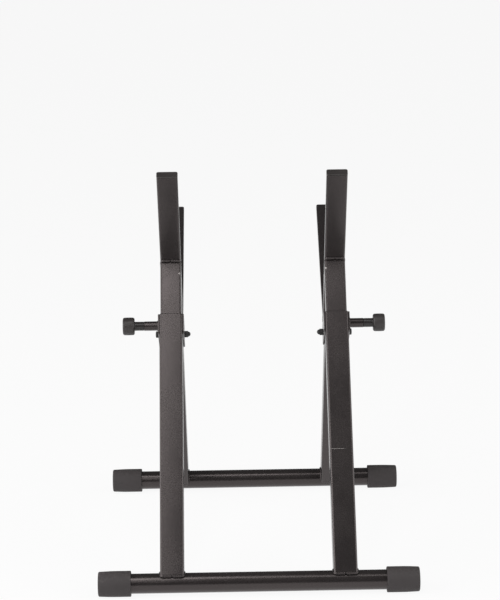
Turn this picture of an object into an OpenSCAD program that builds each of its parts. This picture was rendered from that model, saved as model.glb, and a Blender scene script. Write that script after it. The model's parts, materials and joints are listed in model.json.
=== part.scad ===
// Folding tilt-back stand, adjustable in height.
// Two round floor tubes on rubber feet each carry a pair of square legs. The front legs turn on bolts
// between plates welded to the rear legs, and fold back against them. A cradle on each side, an upright
// with a seat arm in flat tube, stands on a post that slides in the rear leg and is held by a pull pin.
// +Y is the open front of the seat; the rear legs are at -Y. X is across the stand. Z is up.

/* [Base] */
// Overall width across the rubber feet
overall_w = 510; // [460:1:600]
// Distance between the two sides, from leg centre to leg centre
side_spacing = 275; // [230:1:300]
// Distance between the floor tubes when the stand is open
base_depth = 480; // [460:1:500]
// Outside diameter of the floor tubes
floor_tube_d = 31.8; // [30:0.1:34]
// Outside diameter of the rubber feet
foot_d = 41; // [39:0.5:44]
// Length of each rubber foot
foot_len = 52; // [40:1:60]
// Depth of the flat that each rubber foot stands on
foot_flat = 0.8; // [0.5:0.1:1.2]

/* [Legs] */
// Outside width of the square rear legs
leg_w = 38; // [36:0.5:40]
// Wall thickness of every steel tube
wall = 1.5; // [1.2:0.1:1.8]
// Outer corner radius of every square tube
corner_r = 3; // [2.5:0.1:4]
// Length of the front legs, from floor tube centre to pivot bolt
front_leg_len = 374; // [360:1:385]
// Open end of the rear leg, above the pull pin
leg_above_pin = 15; // [13:0.5:18]

/* [Hinge] */
// Distance of the pivot bolt in front of the rear leg's centre line
bolt_offset = 40; // [39:0.5:42]
// Thickness of the hinge plates
plate_t = 2.5; // [2:0.1:3]
// Gap between a front leg and each hinge plate
hinge_gap = 0.5; // [0.45:0.05:0.8]
// Gap at the stop where the front leg's end meets the rear leg
stop_gap = 0.3; // [0.2:0.1:0.6]

/* [Cradle] */
// Lean of the uprights back from vertical
tilt = 29.5; // [27:0.5:31]
// Gap all round between a post and the rear leg it slides in
slide_gap = 0.3; // [0.25:0.05:0.4]
// Height of the upright's rear face above the pull pin, along the post's centre line
post_rise = 101; // [92:1:120]
// Length of the post below the pull pin
post_below_pin = 150; // [120:1:180]
// Thickness of the flat tube of the upright and the seat arm
flat_t = 13; // [11:0.5:16]
// Length of the upright above the post
backrest_len = 205; // [120:1:260]
// Distance from the post down to the seat
seat_drop = 124; // [100:1:140]
// Length of the seat in front of the upright
seat_len = 280; // [220:1:320]
// Distance between the locking holes in the post
hole_pitch = 25; // [20:1:25]

/* [Pull pin] */
// Diameter of the pull pin
pin_d = 8; // [7:0.5:8]
// Outside diameter of the barrel the pin runs in
barrel_d = 15.5; // [14.5:0.5:17]
// Length of the barrel
barrel_len = 23; // [22:1:26]
// Diameter of the pull knob
knob_d = 30; // [26:1:36]
// Thickness of the pull knob's grip
knob_len = 19.5; // [16:0.5:24]

/* [Hidden] */
$fn = 96;
LEFT = -1;
RIGHT = 1;
far = 1000;

// Widths that follow from the rear leg, so that the tubes fit in and beside each other
post_w = leg_w - 2*wall - 2*slide_gap;
front_leg_w = leg_w - 2*hinge_gap;

// Plastic plugs: the head outside the tube and the stem inside it
plug_head = 2;
plug_stem = 16;
plug_wall = 2;
plug_gap = 0.1;
glide_head = 8;
glide_gap = 0.2;

// Heights and angles of the open frame, measured from the rear floor tube's centre line
foot_h = foot_d/2 - foot_flat;
bolt_ahead = base_depth - front_leg_len*sin(tilt);
bolt_up = front_leg_len*cos(tilt);
bolt_reach = norm([bolt_ahead, bolt_up]);
pin_up = sqrt(bolt_reach*bolt_reach - bolt_offset*bolt_offset);
rear_lean = atan2(bolt_ahead, bolt_up) - atan2(bolt_offset, pin_up);
joint_ahead = (pin_up + post_rise)*sin(rear_lean);
joint_up = (pin_up + post_rise)*cos(rear_lean);

// The origin is on the floor at the middle of the whole stand, from rear feet to seat arm tips
tip_ahead = joint_ahead + (flat_t + seat_len + plug_head)*cos(tilt)
  + (seat_drop + flat_t)*sin(tilt);
rear_y = (foot_d/2 - tip_ahead)/2;
front_y = rear_y + base_depth;

// Where a leg's walls end above the centre of its floor tube
leg_foot = 8;
// The rubber foot's closed end, its rounded rim, its taper and its lip
foot_end_t = 5;
foot_rim_r = 2;
foot_taper = 0.8;
foot_lip = 1.2;
foot_bore_gap = 0.05;

// The hinge plate's outline, measured from the pull pin across and along the rear leg
plate_back = -17;
plate_front = bolt_offset + 17;
plate_low = -19;
plate_back_r = 3;
plate_front_r = 8;

// The pivot: bolt, sleeve, nut and washers
bolt_d = 6;
bolt_hole_d = 6.4;
sleeve_d = 10;
sleeve_clearance = 0.08;
hex_af = 10;
bolt_head_t = 4.2;
nut_t = 5.5;
nut_dome_r = 4.3;
bolt_washer_d = 12;
bolt_washer_t = 1.6;
nylon_washer_d = 16;
nylon_washer_t = 0.4;

// The pull pin: its gaps, its tip, and the thinner rod that carries the knob
pin_hole_gap = 0.3;
pin_clearance = 0.06;
pin_tip_gap = 0.3;
pin_chamfer = 1;
rod_step = 1;
pin_hole_d = pin_d + 2*pin_hole_gap;
rod_d = pin_d - 2*rod_step;
pin_tip = post_w/2 + pin_tip_gap;

// The barrel with the collar and the spring in its chamber, measured outwards from the leg's centre
barrel_in = leg_w/2 + plate_t;
barrel_out = barrel_in + barrel_len;
barrel_guide = 3.5;
barrel_end_t = 3;
barrel_wall = 1.8;
collar_gap = 0.3;
collar_rest_gap = 0.1;
collar_t = 2;
chamber_d = barrel_d - 2*barrel_wall;
collar_d = chamber_d - 2*collar_gap;
collar_in = barrel_in + barrel_guide + collar_rest_gap;
spring_wire = 0.9;
spring_mean_r = (rod_d + chamber_d)/4;
spring_turns = 4.5;

// The knob: its hub, just clear of the barrel's end, and its grip
hub_step = 0.2;
hub_rest_gap = 0.2;
hub_d = barrel_d - 2*hub_step;
hub_in = barrel_out + hub_rest_gap;
hub_len = 16;
knob_edge_r = 3;
knob_bulge = 0.7;
rod_in_knob = 26;

// Holes in the post, counted from the one the pin stands at
holes_below = 3;
holes_above = 2;

steel = "#3a3838";
edge_steel = "#2e2c2d";
rubber = "#454345";
plastic = "#2a292b";
zinc = "#1d1c1e";
nylon = "#d8d5cc";
bright = "#a8a8aa";

// ---- places ----

// One side of the stand, with +X pointing outwards
module on_side(side) {
  translate([side*side_spacing/2, 0, 0])
    if (side < 0) mirror([1, 0, 0]) children();
    else children();
}

// Rear leg's foot: Z runs up the leg and Y points forwards, square to it
module at_rear_foot() {
  translate([0, rear_y, foot_h]) rotate([-rear_lean, 0, 0]) children();
}

// Pull pin's height on the rear leg
module at_pin() {
  at_rear_foot() translate([0, 0, pin_up]) children();
}

// Pivot bolt, seen along the rear leg
module at_bolt() {
  at_pin() translate([0, bolt_offset, 0]) children();
}

// Pivot bolt, seen along the front leg: Z runs up the leg
module at_front_leg() {
  translate([0, rear_y + bolt_ahead, foot_h + bolt_up]) rotate([tilt, 0, 0]) children();
}

// Where the post's centre line meets the upright's rear face: Z runs up the upright and Y points
// forwards along the seat
module at_cradle() {
  translate([0, rear_y + joint_ahead, foot_h + joint_up]) rotate([tilt, 0, 0]) children();
}

// ---- stock shapes ----

module rounded_box(w, t, r) {
  square([w, t - 2*r], center = true);
  square([w - 2*r, t], center = true);
  for (x = [-1, 1], y = [-1, 1])
    translate([x*(w/2 - r), y*(t/2 - r)]) circle(r = r);
}

module box_tube(w, t, len) {
  linear_extrude(height = len) difference() {
    rounded_box(w, t, corner_r);
    rounded_box(w - 2*wall, t - 2*wall, corner_r - wall);
  }
}

module square_tube(w, len) {
  box_tube(w, w, len);
}

// A rod or hole along X, from a to b
module along_x(d, a, b) {
  translate([a, 0, 0]) rotate([0, 90, 0]) cylinder(d = d, h = b - a);
}

// A round tube along X, from a to b
module tube_x(d, bore, a, b) {
  difference() {
    along_x(d, a, b);
    along_x(bore, a - 1, b + 1);
  }
}

// The hollow stem of a plug for a tube of the size given, below zero
module hollow_stem(tube_w, tube_t) {
  w = tube_w - 2*wall - 2*plug_gap;
  t = tube_t - 2*wall - 2*plug_gap;
  translate([0, 0, -plug_stem]) linear_extrude(height = plug_stem) difference() {
    rounded_box(w, t, corner_r - wall - plug_gap);
    square([w - 2*plug_wall, t - 2*plug_wall], center = true);
  }
}

// A plug for the open end of a flat tube, its head at and above zero
module flat_plug() {
  linear_extrude(height = plug_head) rounded_box(post_w, flat_t, corner_r);
  hollow_stem(post_w, flat_t);
}

// A square leg from its floor tube up to the height given, coped to sit on the tube
module coped_leg(w, len) {
  difference() {
    translate([0, 0, leg_foot]) square_tube(w, len - leg_foot);
    along_x(floor_tube_d, -w, w);
  }
}

// ---- base ----

module floor_tube(y) {
  half = overall_w/2 - foot_end_t;
  color(steel) translate([0, y, foot_h])
    tube_x(floor_tube_d, floor_tube_d - 2*wall, -half, half);
}

// Profile of the rubber foot from its lip to its closed end
module foot_profile() {
  r_in = floor_tube_d/2 + foot_bore_gap;
  r_out = foot_d/2;
  r_end = r_out - foot_taper;
  difference() {
    union() {
      polygon([[0, foot_lip], [r_out, foot_lip], [r_end, foot_len - foot_rim_r],
               [0, foot_len - foot_rim_r]]);
      polygon([[0, 0], [r_out - foot_lip, 0], [r_out, foot_lip], [0, foot_lip]]);
      translate([0, foot_len - foot_rim_r]) square([r_end - foot_rim_r, foot_rim_r]);
      intersection() {
        translate([r_end - foot_rim_r, foot_len - foot_rim_r]) circle(r = foot_rim_r);
        translate([r_end - foot_rim_r, foot_len - foot_rim_r]) square(foot_rim_r);
      }
    }
    translate([-1, -1]) square([r_in + 1, foot_len - foot_end_t + 1]);
  }
}

module end_cap(side, y) {
  color(rubber) difference() {
    translate([side*(overall_w/2 - foot_len), y, foot_h]) rotate([0, side*90, 0])
      rotate_extrude() foot_profile();
    translate([-far/2, y - far/2, -far]) cube([far, far, far]);
  }
}

// ---- rear frame ----

module rear_leg(side) {
  color(steel) on_side(side) at_rear_foot() difference() {
    coped_leg(leg_w, pin_up + leg_above_pin);
    translate([0, 0, pin_up]) along_x(pin_hole_d, 0, leg_w);
  }
}

module plate_outline() {
  top = leg_above_pin;
  translate([plate_back + plate_back_r, plate_low])
    square([plate_front - plate_front_r - plate_back - plate_back_r, top - plate_low]);
  translate([plate_back, plate_low + plate_back_r])
    square([plate_back_r, top - plate_low - 2*plate_back_r]);
  translate([plate_front - plate_front_r, plate_low + plate_front_r])
    square([plate_front_r, top - plate_low - 2*plate_front_r]);
  for (y = [plate_low + plate_back_r, top - plate_back_r])
    translate([plate_back + plate_back_r, y]) circle(r = plate_back_r);
  for (y = [plate_low + plate_front_r, top - plate_front_r])
    translate([plate_front - plate_front_r, y]) circle(r = plate_front_r);
}

// One plate on the outer or inner face of the rear leg; only the outer one lets the pin through
module hinge_plate(side, outer) {
  x = outer ? leg_w/2 : -leg_w/2 - plate_t;
  color(edge_steel) on_side(side) at_pin() difference() {
    translate([x, 0, 0]) rotate([90, 0, 90]) linear_extrude(height = plate_t) plate_outline();
    translate([0, bolt_offset, 0]) along_x(bolt_hole_d, x - 1, x + plate_t + 1);
    if (outer) along_x(pin_hole_d, x - 1, x + plate_t + 1);
  }
}

module hexagon_x(a, b) {
  translate([a, 0, 0]) rotate([0, 90, 0]) cylinder(d = hex_af/cos(30), h = b - a, $fn = 6);
}

module pivot_bolt(side) {
  seat = barrel_in + bolt_washer_t;
  color(zinc) on_side(side) at_bolt() union() {
    along_x(bolt_d, -barrel_in - nut_t, seat);
    intersection() {
      hexagon_x(seat, seat + bolt_head_t);
      translate([seat + bolt_head_t - 2*hex_af, 0, 0]) sphere(r = 2*hex_af);
    }
  }
}

module pivot_nut(side) {
  color(zinc) on_side(side) at_bolt() difference() {
    union() {
      hexagon_x(-barrel_in - nut_t, -barrel_in);
      difference() {
        translate([-barrel_in - nut_t, 0, 0]) sphere(r = nut_dome_r);
        translate([-barrel_in - nut_t, -far/2, -far/2]) cube([far, far, far]);
      }
    }
    along_x(bolt_d, -barrel_in - nut_t, -barrel_in + 1);
  }
}

module bolt_washer(side) {
  color(zinc) on_side(side) at_bolt()
    tube_x(bolt_washer_d, bolt_hole_d, barrel_in, barrel_in + bolt_washer_t);
}

module nylon_washers(side) {
  color(nylon) on_side(side) at_bolt() union() {
    tube_x(nylon_washer_d, bolt_hole_d, leg_w/2 - nylon_washer_t, leg_w/2);
    tube_x(nylon_washer_d, bolt_hole_d, -leg_w/2, -leg_w/2 + nylon_washer_t);
  }
}

module plunger_barrel(side) {
  color(edge_steel) on_side(side) at_pin() difference() {
    along_x(barrel_d, barrel_in, barrel_out);
    along_x(pin_d + 2*pin_clearance, barrel_in - 1, barrel_in + barrel_guide + 1);
    along_x(chamber_d, barrel_in + barrel_guide, barrel_out - barrel_end_t);
    along_x(rod_d + 2*pin_clearance, barrel_out - barrel_end_t - 1, barrel_out + 1);
  }
}

// A wire bent into an open coil along Z, as one swept tube
module coil_spring(mean_r, wire_d, len, turns) {
  steps = 8;
  rings = steps*turns;
  sides = 6;
  rise = (len - wire_d)/rings;
  points = [for (i = [0:rings], k = [0:sides - 1])
    let (a = 360*i/steps, b = 360*k/sides, r = mean_r + wire_d/2*cos(b))
    [r*cos(a), r*sin(a), wire_d/2 + rise*i + wire_d/2*sin(b)]];
  walls = [for (i = [0:rings - 1], k = [0:sides - 1])
    let (p = i*sides + k, q = i*sides + (k + 1) % sides)
    each [[p, q, p + sides], [q, q + sides, p + sides]]];
  start = [for (k = [1:sides - 2]) [0, k + 1, k]];
  end = [for (k = [1:sides - 2]) [rings*sides, rings*sides + k, rings*sides + k + 1]];
  polyhedron(points = points, faces = concat(walls, start, end), convexity = 10);
}

module plunger_spring(side) {
  from = collar_in + collar_t;
  to = barrel_out - barrel_end_t;
  color(bright) on_side(side) at_pin() translate([from, 0, 0]) rotate([0, 90, 0])
    coil_spring(spring_mean_r, spring_wire, to - from, spring_turns);
}

// ---- front frame ----

// Everything that the front leg's upper end must stay clear of, seen along the rear leg
module front_leg_clearance() {
  reach = bolt_offset - leg_w/2 - stop_gap;
  translate([-far/2, -far - reach, -far/2]) cube([far, far, far]);
  translate([-far/2, -far/2, leg_above_pin - stop_gap]) cube([far, far, far]);
  difference() {
    translate([-far/2, -2*leg_w, -2*leg_w]) cube([far, 2*leg_w, 2*leg_w]);
    along_x(2*reach, -far, far);
  }
}

module front_leg(side) {
  color(steel) on_side(side) at_front_leg() difference() {
    translate([0, 0, -front_leg_len]) coped_leg(front_leg_w, front_leg_len + leg_w);
    rotate([-rear_lean - tilt, 0, 0]) front_leg_clearance();
    along_x(sleeve_d, -leg_w, leg_w);
  }
}

module pivot_sleeve(side) {
  color(bright) on_side(side) at_front_leg()
    tube_x(sleeve_d, bolt_d + 2*sleeve_clearance, -front_leg_w/2, front_leg_w/2);
}

// ---- cradles ----

// The space in front of the upright's rear face
module ahead_of_rear_face() {
  translate([-far/2, 0, -far/2]) cube([far, far, far]);
}

module post(side) {
  color(steel) on_side(side) difference() {
    at_pin() translate([0, 0, -post_below_pin]) square_tube(post_w, post_below_pin + 2*post_rise);
    at_cradle() ahead_of_rear_face();
    for (i = [-holes_below:holes_above])
      at_pin() translate([0, 0, i*hole_pitch]) along_x(pin_hole_d, 0, post_w);
  }
}

module post_glide(side) {
  glide_w = leg_w - 2*wall - 2*glide_gap;
  color(plastic) on_side(side) at_pin() translate([0, 0, -post_below_pin]) rotate([180, 0, 0]) {
    linear_extrude(height = glide_head) rounded_box(glide_w, glide_w, corner_r);
    hollow_stem(post_w, post_w);
  }
}

// The mitred corner where upright and seat arm meet: +Z is the upright's side of the cut
module at_mitre() {
  translate([0, flat_t, -seat_drop]) rotate([45, 0, 0]) children();
}

module upright(side) {
  low = seat_drop + flat_t;
  color(steel) on_side(side) at_cradle() difference() {
    translate([0, flat_t/2, -low]) box_tube(post_w, flat_t, low + backrest_len);
    at_mitre() translate([-far/2, -far/2, -far]) cube([far, far, far]);
  }
}

module upright_plug(side) {
  color(plastic) on_side(side) at_cradle() translate([0, flat_t/2, backrest_len]) flat_plug();
}

module seat_arm(side) {
  color(steel) on_side(side) at_cradle() difference() {
    translate([0, 0, -seat_drop - flat_t/2]) rotate([-90, 0, 0])
      box_tube(post_w, flat_t, flat_t + seat_len);
    at_mitre() translate([-far/2, -far/2, 0]) cube([far, far, far]);
  }
}

module seat_arm_plug(side) {
  color(plastic) on_side(side) at_cradle()
    translate([0, flat_t + seat_len, -seat_drop - flat_t/2]) rotate([-90, 0, 0]) flat_plug();
}

// ---- pull pins ----

module pull_pin(side) {
  color(bright) on_side(side) at_pin() union() {
    translate([pin_tip, 0, 0]) rotate([0, 90, 0])
      cylinder(d1 = pin_d - 2*pin_chamfer, d2 = pin_d, h = pin_chamfer);
    along_x(pin_d, pin_tip + pin_chamfer, collar_in);
    along_x(collar_d, collar_in, collar_in + collar_t);
    along_x(rod_d, collar_in + collar_t, hub_in + rod_in_knob);
  }
}

// Half section of hub and grip, from the barrel outwards, with a slightly barrelled grip
module knob_profile() {
  r = knob_d/2;
  mid = hub_len + knob_len/2;
  bow = (knob_len*knob_len/4 + knob_bulge*knob_bulge)/(2*knob_bulge);
  square([hub_d/2, hub_len + 1]);
  intersection() {
    union() {
      translate([0, hub_len + knob_edge_r]) square([r, knob_len - 2*knob_edge_r]);
      translate([0, hub_len]) square([r - knob_edge_r - knob_bulge, knob_len]);
      for (y = [hub_len + knob_edge_r, hub_len + knob_len - knob_edge_r])
        translate([r - knob_edge_r - knob_bulge, y]) circle(r = knob_edge_r);
    }
    translate([r - bow, mid]) circle(r = bow, $fn = 360);
    translate([0, hub_len]) square([r, knob_len]);
  }
}

module pull_knob(side) {
  color(plastic) on_side(side) at_pin() difference() {
    translate([hub_in, 0, 0]) rotate([0, 90, 0]) rotate_extrude() knob_profile();
    along_x(rod_d, hub_in - 1, hub_in + rod_in_knob);
  }
}

floor_tube(rear_y);  // rear_floor_tube
end_cap(LEFT, rear_y);  // rear_end_cap_left
end_cap(RIGHT, rear_y);  // rear_end_cap_right
rear_leg(LEFT);  // rear_leg_left
rear_leg(RIGHT);  // rear_leg_right
hinge_plate(LEFT, true);  // hinge_plate_outer_left
hinge_plate(LEFT, false);  // hinge_plate_inner_left
hinge_plate(RIGHT, true);  // hinge_plate_outer_right
hinge_plate(RIGHT, false);  // hinge_plate_inner_right
pivot_bolt(LEFT);  // pivot_bolt_left
pivot_bolt(RIGHT);  // pivot_bolt_right
pivot_nut(LEFT);  // pivot_nut_left
pivot_nut(RIGHT);  // pivot_nut_right
bolt_washer(LEFT);  // bolt_washer_left
bolt_washer(RIGHT);  // bolt_washer_right
nylon_washers(LEFT);  // nylon_washers_left
nylon_washers(RIGHT);  // nylon_washers_right
plunger_barrel(LEFT);  // plunger_barrel_left
plunger_barrel(RIGHT);  // plunger_barrel_right
plunger_spring(LEFT);  // plunger_spring_left
plunger_spring(RIGHT);  // plunger_spring_right
floor_tube(front_y);  // front_floor_tube
end_cap(LEFT, front_y);  // front_end_cap_left
end_cap(RIGHT, front_y);  // front_end_cap_right
front_leg(LEFT);  // front_leg_left
front_leg(RIGHT);  // front_leg_right
pivot_sleeve(LEFT);  // pivot_sleeve_left
pivot_sleeve(RIGHT);  // pivot_sleeve_right
post(LEFT);  // post_left
post_glide(LEFT);  // post_glide_left
upright(LEFT);  // upright_left
upright_plug(LEFT);  // upright_plug_left
seat_arm(LEFT);  // seat_arm_left
seat_arm_plug(LEFT);  // seat_arm_plug_left
post(RIGHT);  // post_right
post_glide(RIGHT);  // post_glide_right
upright(RIGHT);  // upright_right
upright_plug(RIGHT);  // upright_plug_right
seat_arm(RIGHT);  // seat_arm_right
seat_arm_plug(RIGHT);  // seat_arm_plug_right
pull_pin(LEFT);  // pull_pin_left
pull_knob(LEFT);  // pull_knob_left
pull_pin(RIGHT);  // pull_pin_right
pull_knob(RIGHT);  // pull_knob_right
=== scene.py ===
"""Finishes a folding tilt-back stand: softened steel, welds, feet, knobs, springs and a plain studio.

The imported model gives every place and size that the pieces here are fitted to. Sizes are in metres.
X runs across the stand, +Y is the open front of the seat, and Z is up.
"""

import json
from math import cos, pi, radians, sin, sqrt

import bmesh
import bpy
from bpy.props import FloatProperty, FloatVectorProperty, IntProperty, PointerProperty
from mathutils import Matrix, Vector, noise


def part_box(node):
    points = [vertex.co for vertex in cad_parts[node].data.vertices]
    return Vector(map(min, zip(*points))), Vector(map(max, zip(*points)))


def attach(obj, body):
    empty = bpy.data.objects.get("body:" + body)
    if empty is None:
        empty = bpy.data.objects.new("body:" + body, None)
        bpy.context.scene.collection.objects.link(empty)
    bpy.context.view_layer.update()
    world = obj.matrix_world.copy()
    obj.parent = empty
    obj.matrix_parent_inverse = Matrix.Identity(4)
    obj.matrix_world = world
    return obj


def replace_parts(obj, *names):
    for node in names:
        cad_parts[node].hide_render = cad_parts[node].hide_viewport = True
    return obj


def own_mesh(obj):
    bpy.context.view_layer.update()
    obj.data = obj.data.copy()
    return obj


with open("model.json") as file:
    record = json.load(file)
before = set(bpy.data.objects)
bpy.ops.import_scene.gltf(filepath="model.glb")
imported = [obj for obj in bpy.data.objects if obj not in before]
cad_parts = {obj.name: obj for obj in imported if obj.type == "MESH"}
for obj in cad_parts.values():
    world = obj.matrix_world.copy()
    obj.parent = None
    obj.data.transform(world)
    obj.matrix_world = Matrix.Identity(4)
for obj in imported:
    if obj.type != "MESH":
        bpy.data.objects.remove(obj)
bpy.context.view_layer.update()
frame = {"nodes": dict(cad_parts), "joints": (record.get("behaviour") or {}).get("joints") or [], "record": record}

bl_info = {
    "name": "Folding Tilt-Back Stand",
    "version": (1, 0, 0),
    "blender": (4, 5, 0),
    "location": "3D View > Sidebar > Stand",
    "description": "Softened steel, welds, feet, knobs, plugs and springs for a folding tilt-back stand",
    "category": "Object",
}

NODES = frame["nodes"]
JOINTS = {joint["name"]: joint for joint in frame["joints"]}
MOUNTS = {mount["name"]: mount for mount in frame["record"]["mounts"]}
BODY_OF = {
    node: body
    for body, members in frame["record"]["behaviour"]["bodies"].items()
    for node in members
}
SLOT_OF = {part["node"]: part["material_slot"] for part in frame["record"]["subparts"]}

SIDES = {"left": -1, "right": 1}
ACROSS = Vector((1, 0, 0))
UP_REAR_LEG = Vector(JOINTS["left_height"]["axis"])
UP_UPRIGHT = Vector(MOUNTS["seat_face_left"]["axis"])
MM = 0.001


# ---- places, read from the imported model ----


def middle(node):
    low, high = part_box(node)
    return (low + high) / 2


def half_size(node, axis):
    """Half of a CAD node's size along x, y or z."""
    low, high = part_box(node)
    return (getattr(high, axis) - getattr(low, axis)) / 2


def near_and_far(node, sign):
    """The two ends in X of a CAD node at one side, the end nearer the stand's middle first."""
    low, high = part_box(node)
    return (low.x, high.x) if sign > 0 else (high.x, low.x)


POST_HALF = half_size("upright_left", "x")
LEG_HALF = half_size("rear_leg_left", "x")
FRONT_LEG_HALF = half_size("front_leg_left", "x")


def along(origin, up):
    """Local axes at a point: Z along up, Y square to it and forwards, X across the stand."""
    up = up.normalized()
    axes = Matrix((ACROSS, up.cross(ACROSS), up)).transposed().to_4x4()
    return Matrix.Translation(origin) @ axes


def crossing(point_a, way_a, point_b, way_b):
    """Where two lines in the plane of one side meet."""
    square = way_b.cross(ACROSS)
    return point_a + way_a * ((point_b - point_a).dot(square) / way_a.dot(square))


def pin_place(side):
    """The pull pin's centre in the middle of the rear leg, with Z up the leg."""
    grip = middle(f"pull_knob_{side}")
    return along(Vector((middle(f"rear_leg_{side}").x, grip.y, grip.z)), UP_REAR_LEG)


def flat_thickness():
    """Thickness of the flat tube, from the plug that covers its end."""
    plug = NODES["upright_plug_left"]
    way = Vector(MOUNTS["back_face_left"]["axis"])
    reach = [(plug.matrix_world @ vert.co).dot(way) for vert in plug.data.vertices]
    return max(reach) - min(reach)


def cradle_place(side):
    """Where the post's centre line meets the upright's rear face, with Z up the upright."""
    face = MOUNTS[f"back_face_{side}"]
    on_rear = Vector(face["pos_m"]) - Vector(face["axis"]) * flat_thickness()
    pin = pin_place(side).translation
    return along(crossing(pin, UP_REAR_LEG, on_rear, UP_UPRIGHT), UP_UPRIGHT)


def seat_drop(side):
    """Distance from the cradle's place down to the seat."""
    return (cradle_place(side).inverted() @ Vector(MOUNTS[f"seat_face_{side}"]["pos_m"])).z


def tube_place(end, side):
    """A leg's foot on its floor tube, with Z up the leg."""
    tube = middle(f"{end}_floor_tube")
    up = UP_REAR_LEG if end == "rear" else UP_UPRIGHT
    return along(Vector((middle(f"{end}_leg_{side}").x, tube.y, tube.z)), up)


# ---- sizes and colours that a user may change ----


def colour(name, text, default):
    return FloatVectorProperty(
        name=name, description=text, subtype="COLOR", size=3, min=0, max=1, default=default
    )


def length(name, text, default, high=0.1):
    return FloatProperty(
        name=name, description=text, subtype="DISTANCE", unit="LENGTH",
        min=0, max=high, precision=4, default=default,
    )


def factor(name, text, default, high=1):
    return FloatProperty(name=name, description=text, subtype="FACTOR", min=0, max=high, default=default)


def watts(name, text, default):
    return FloatProperty(name=name, description=text, unit="POWER", min=0, max=500, default=default)


def facets(text):
    return IntProperty(name="Sides", description=text, min=24, max=192, default=96)


class STAND_PG_finish(bpy.types.PropertyGroup):
    """Colours of the stand's materials, and how far its edges are softened"""

    powder: colour("Powder Coat", "Black powder coat on tubes and plates", (0.0175, 0.0150, 0.0150))
    powder_worn: colour("Rubbed Coat", "Powder coat dulled by handling", (0.0265, 0.0232, 0.0228))
    # colour of the two small bright metallic spots on the posts' inner corners and of the scratch on a leg
    bright_mark: colour("Bright Marks", "Steel colour of the small bright spots at the posts and of the scratch", (0.42, 0.40, 0.38))
    rubber: colour("Rubber", "Feet", (0.0640, 0.0550, 0.0555))
    plastic: colour("Plastic", "Knobs, plugs and glides", (0.0440, 0.0385, 0.0375))
    zinc: colour("Black Zinc", "Bolts, nuts and washers", (0.0130, 0.0120, 0.0120))
    nylon: colour("Nylon", "Washers beside the front legs", (0.72, 0.70, 0.64))
    steel: colour("Turned Steel", "Pull pins, sleeves and springs", (0.53, 0.53, 0.54))
    edge: length("Edge", "Width of the broken edge on cut steel", 0.00035, 0.001)
    rim: length("Rim", "Width of the filed rim round the open end of a leg", 0.0011, 0.0012)
    small_edge: length("Small Edge", "Width of the broken edge on small hardware", 0.0002, 0.0005)
    plug_edge: length("Plug Edge", "Rounding of the plastic plugs and glides", 0.0007, 0.002)


class STAND_PG_welds(bpy.types.PropertyGroup):
    """Sizes of the weld beads"""

    floor_bead: length("Floor Bead", "Radius of the bead between a leg's end wall and its tube", 0.0029)
    side_bead: length("Side Bead", "Radius of the bead round a floor tube beside a leg", 0.0019)
    post_bead: length("Post Bead", "Radius of the bead beside and under a post on its upright", 0.0021)
    post_top: length("Post Top Bead", "Radius of the bead over a post, where it is widest", 0.0034)
    mitre_bead: length("Mitre Bead", "Radius of the dressed bead round a mitred corner", 0.0012)
    plate_bead: length("Plate Bead", "Radius of the bead at a hinge plate or barrel", 0.0013)
    ripple: length("Ripple", "Distance between the ripples in a bead", 0.0031)
    depth: factor("Ripple Depth", "Share of a bead's radius that its ripples take", 0.16, 0.5)


class STAND_PG_feet(bpy.types.PropertyGroup):
    """Shape of the rubber feet"""

    taper: length("Taper", "Radius lost at the closed end", 0.0009)
    rim: length("Rim", "Rounding of the closed end", 0.0022)
    lip: length("Lip", "Rounding of the open end", 0.0013)
    end_wall: length("End Wall", "Thickness of the closed end", 0.005)
    dish: length("Dish", "Depth of the dish in the closed end", 0.0007)
    sides: facets("Facets round a foot")


class STAND_PG_knobs(bpy.types.PropertyGroup):
    """Shape of the pull knobs"""

    hub_length: length("Hub Length", "Length of the hub between barrel and grip", 0.016)
    rim: length("Rim", "Rounding of the grip's two rims", 0.0028)
    bulge: length("Bulge", "How far the grip swells between its rims", 0.0006)
    dish: length("Dish", "Depth of the dish in the grip's face", 0.0009)
    sides: facets("Facets round a knob")


class STAND_PG_springs(bpy.types.PropertyGroup):
    """Shape of the return springs in the barrels"""

    wire: length("Wire", "Radius of the spring wire", 0.00045, 0.001)
    turns: FloatProperty(name="Turns", description="Turns of the coil", min=2, max=10, default=4.5)
    steps: IntProperty(name="Steps", description="Steps in a turn", min=12, max=96, default=32)


class STAND_PG_studio(bpy.types.PropertyGroup):
    """Camera, lamps and backdrop"""

    camera_at: FloatVectorProperty(
        name="Camera", description="Camera position", subtype="TRANSLATION", unit="LENGTH",
        size=3, default=(-0.0346, -3.4829, 1.3405),
    )
    camera_turn: FloatVectorProperty(
        name="Camera Turn", description="Camera rotation", subtype="EULER", unit="ROTATION",
        size=3, default=(radians(74.854), radians(0.779), radians(-0.691)),
    )
    focal: FloatProperty(
        name="Focal Length", description="Focal length in millimetres on a 36 mm frame",
        unit="CAMERA", min=20, max=300, default=128.66,
    )
    backdrop: colour("Backdrop", "Floor and background", (0.93, 0.93, 0.93))
    sky: factor("Sky", "Strength of the even light from all round", 0.12, 2)
    shadow: factor("Shadow", "How much of the floor's own shading the camera sees", 0.08)
    key: watts("Key Lamp", "Power of the strip lamp at the left", 5.8)
    top: watts("Top Lamp", "Power of the lamp overhead", 9.4)
    left: watts("Left Lamp", "Power of the broad lamp at the left", 75)
    right: watts("Right Lamp", "Power of the broad lamp at the right", 52)


# ---- shader node helpers; a value is an output of a node, a number, a vector or a colour ----


def feed(tree, socket, value):
    """Link an output to a socket, or set the socket to a plain value."""
    if isinstance(value, bpy.types.NodeSocket):
        tree.links.new(value, socket)
    else:
        socket.default_value = (*value, 1) if socket.type == "RGBA" else value


def feed_all(tree, node, values):
    """Feed a node's sockets by name, and give the node back."""
    for name, value in values.items():
        feed(tree, node.inputs[name], value)
    return node


def calculation(tree, node_type, kind, values):
    node = tree.nodes.new(node_type)
    node.operation = kind
    for socket, value in zip(node.inputs, values):
        feed(tree, socket, value)
    return node.outputs


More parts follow.
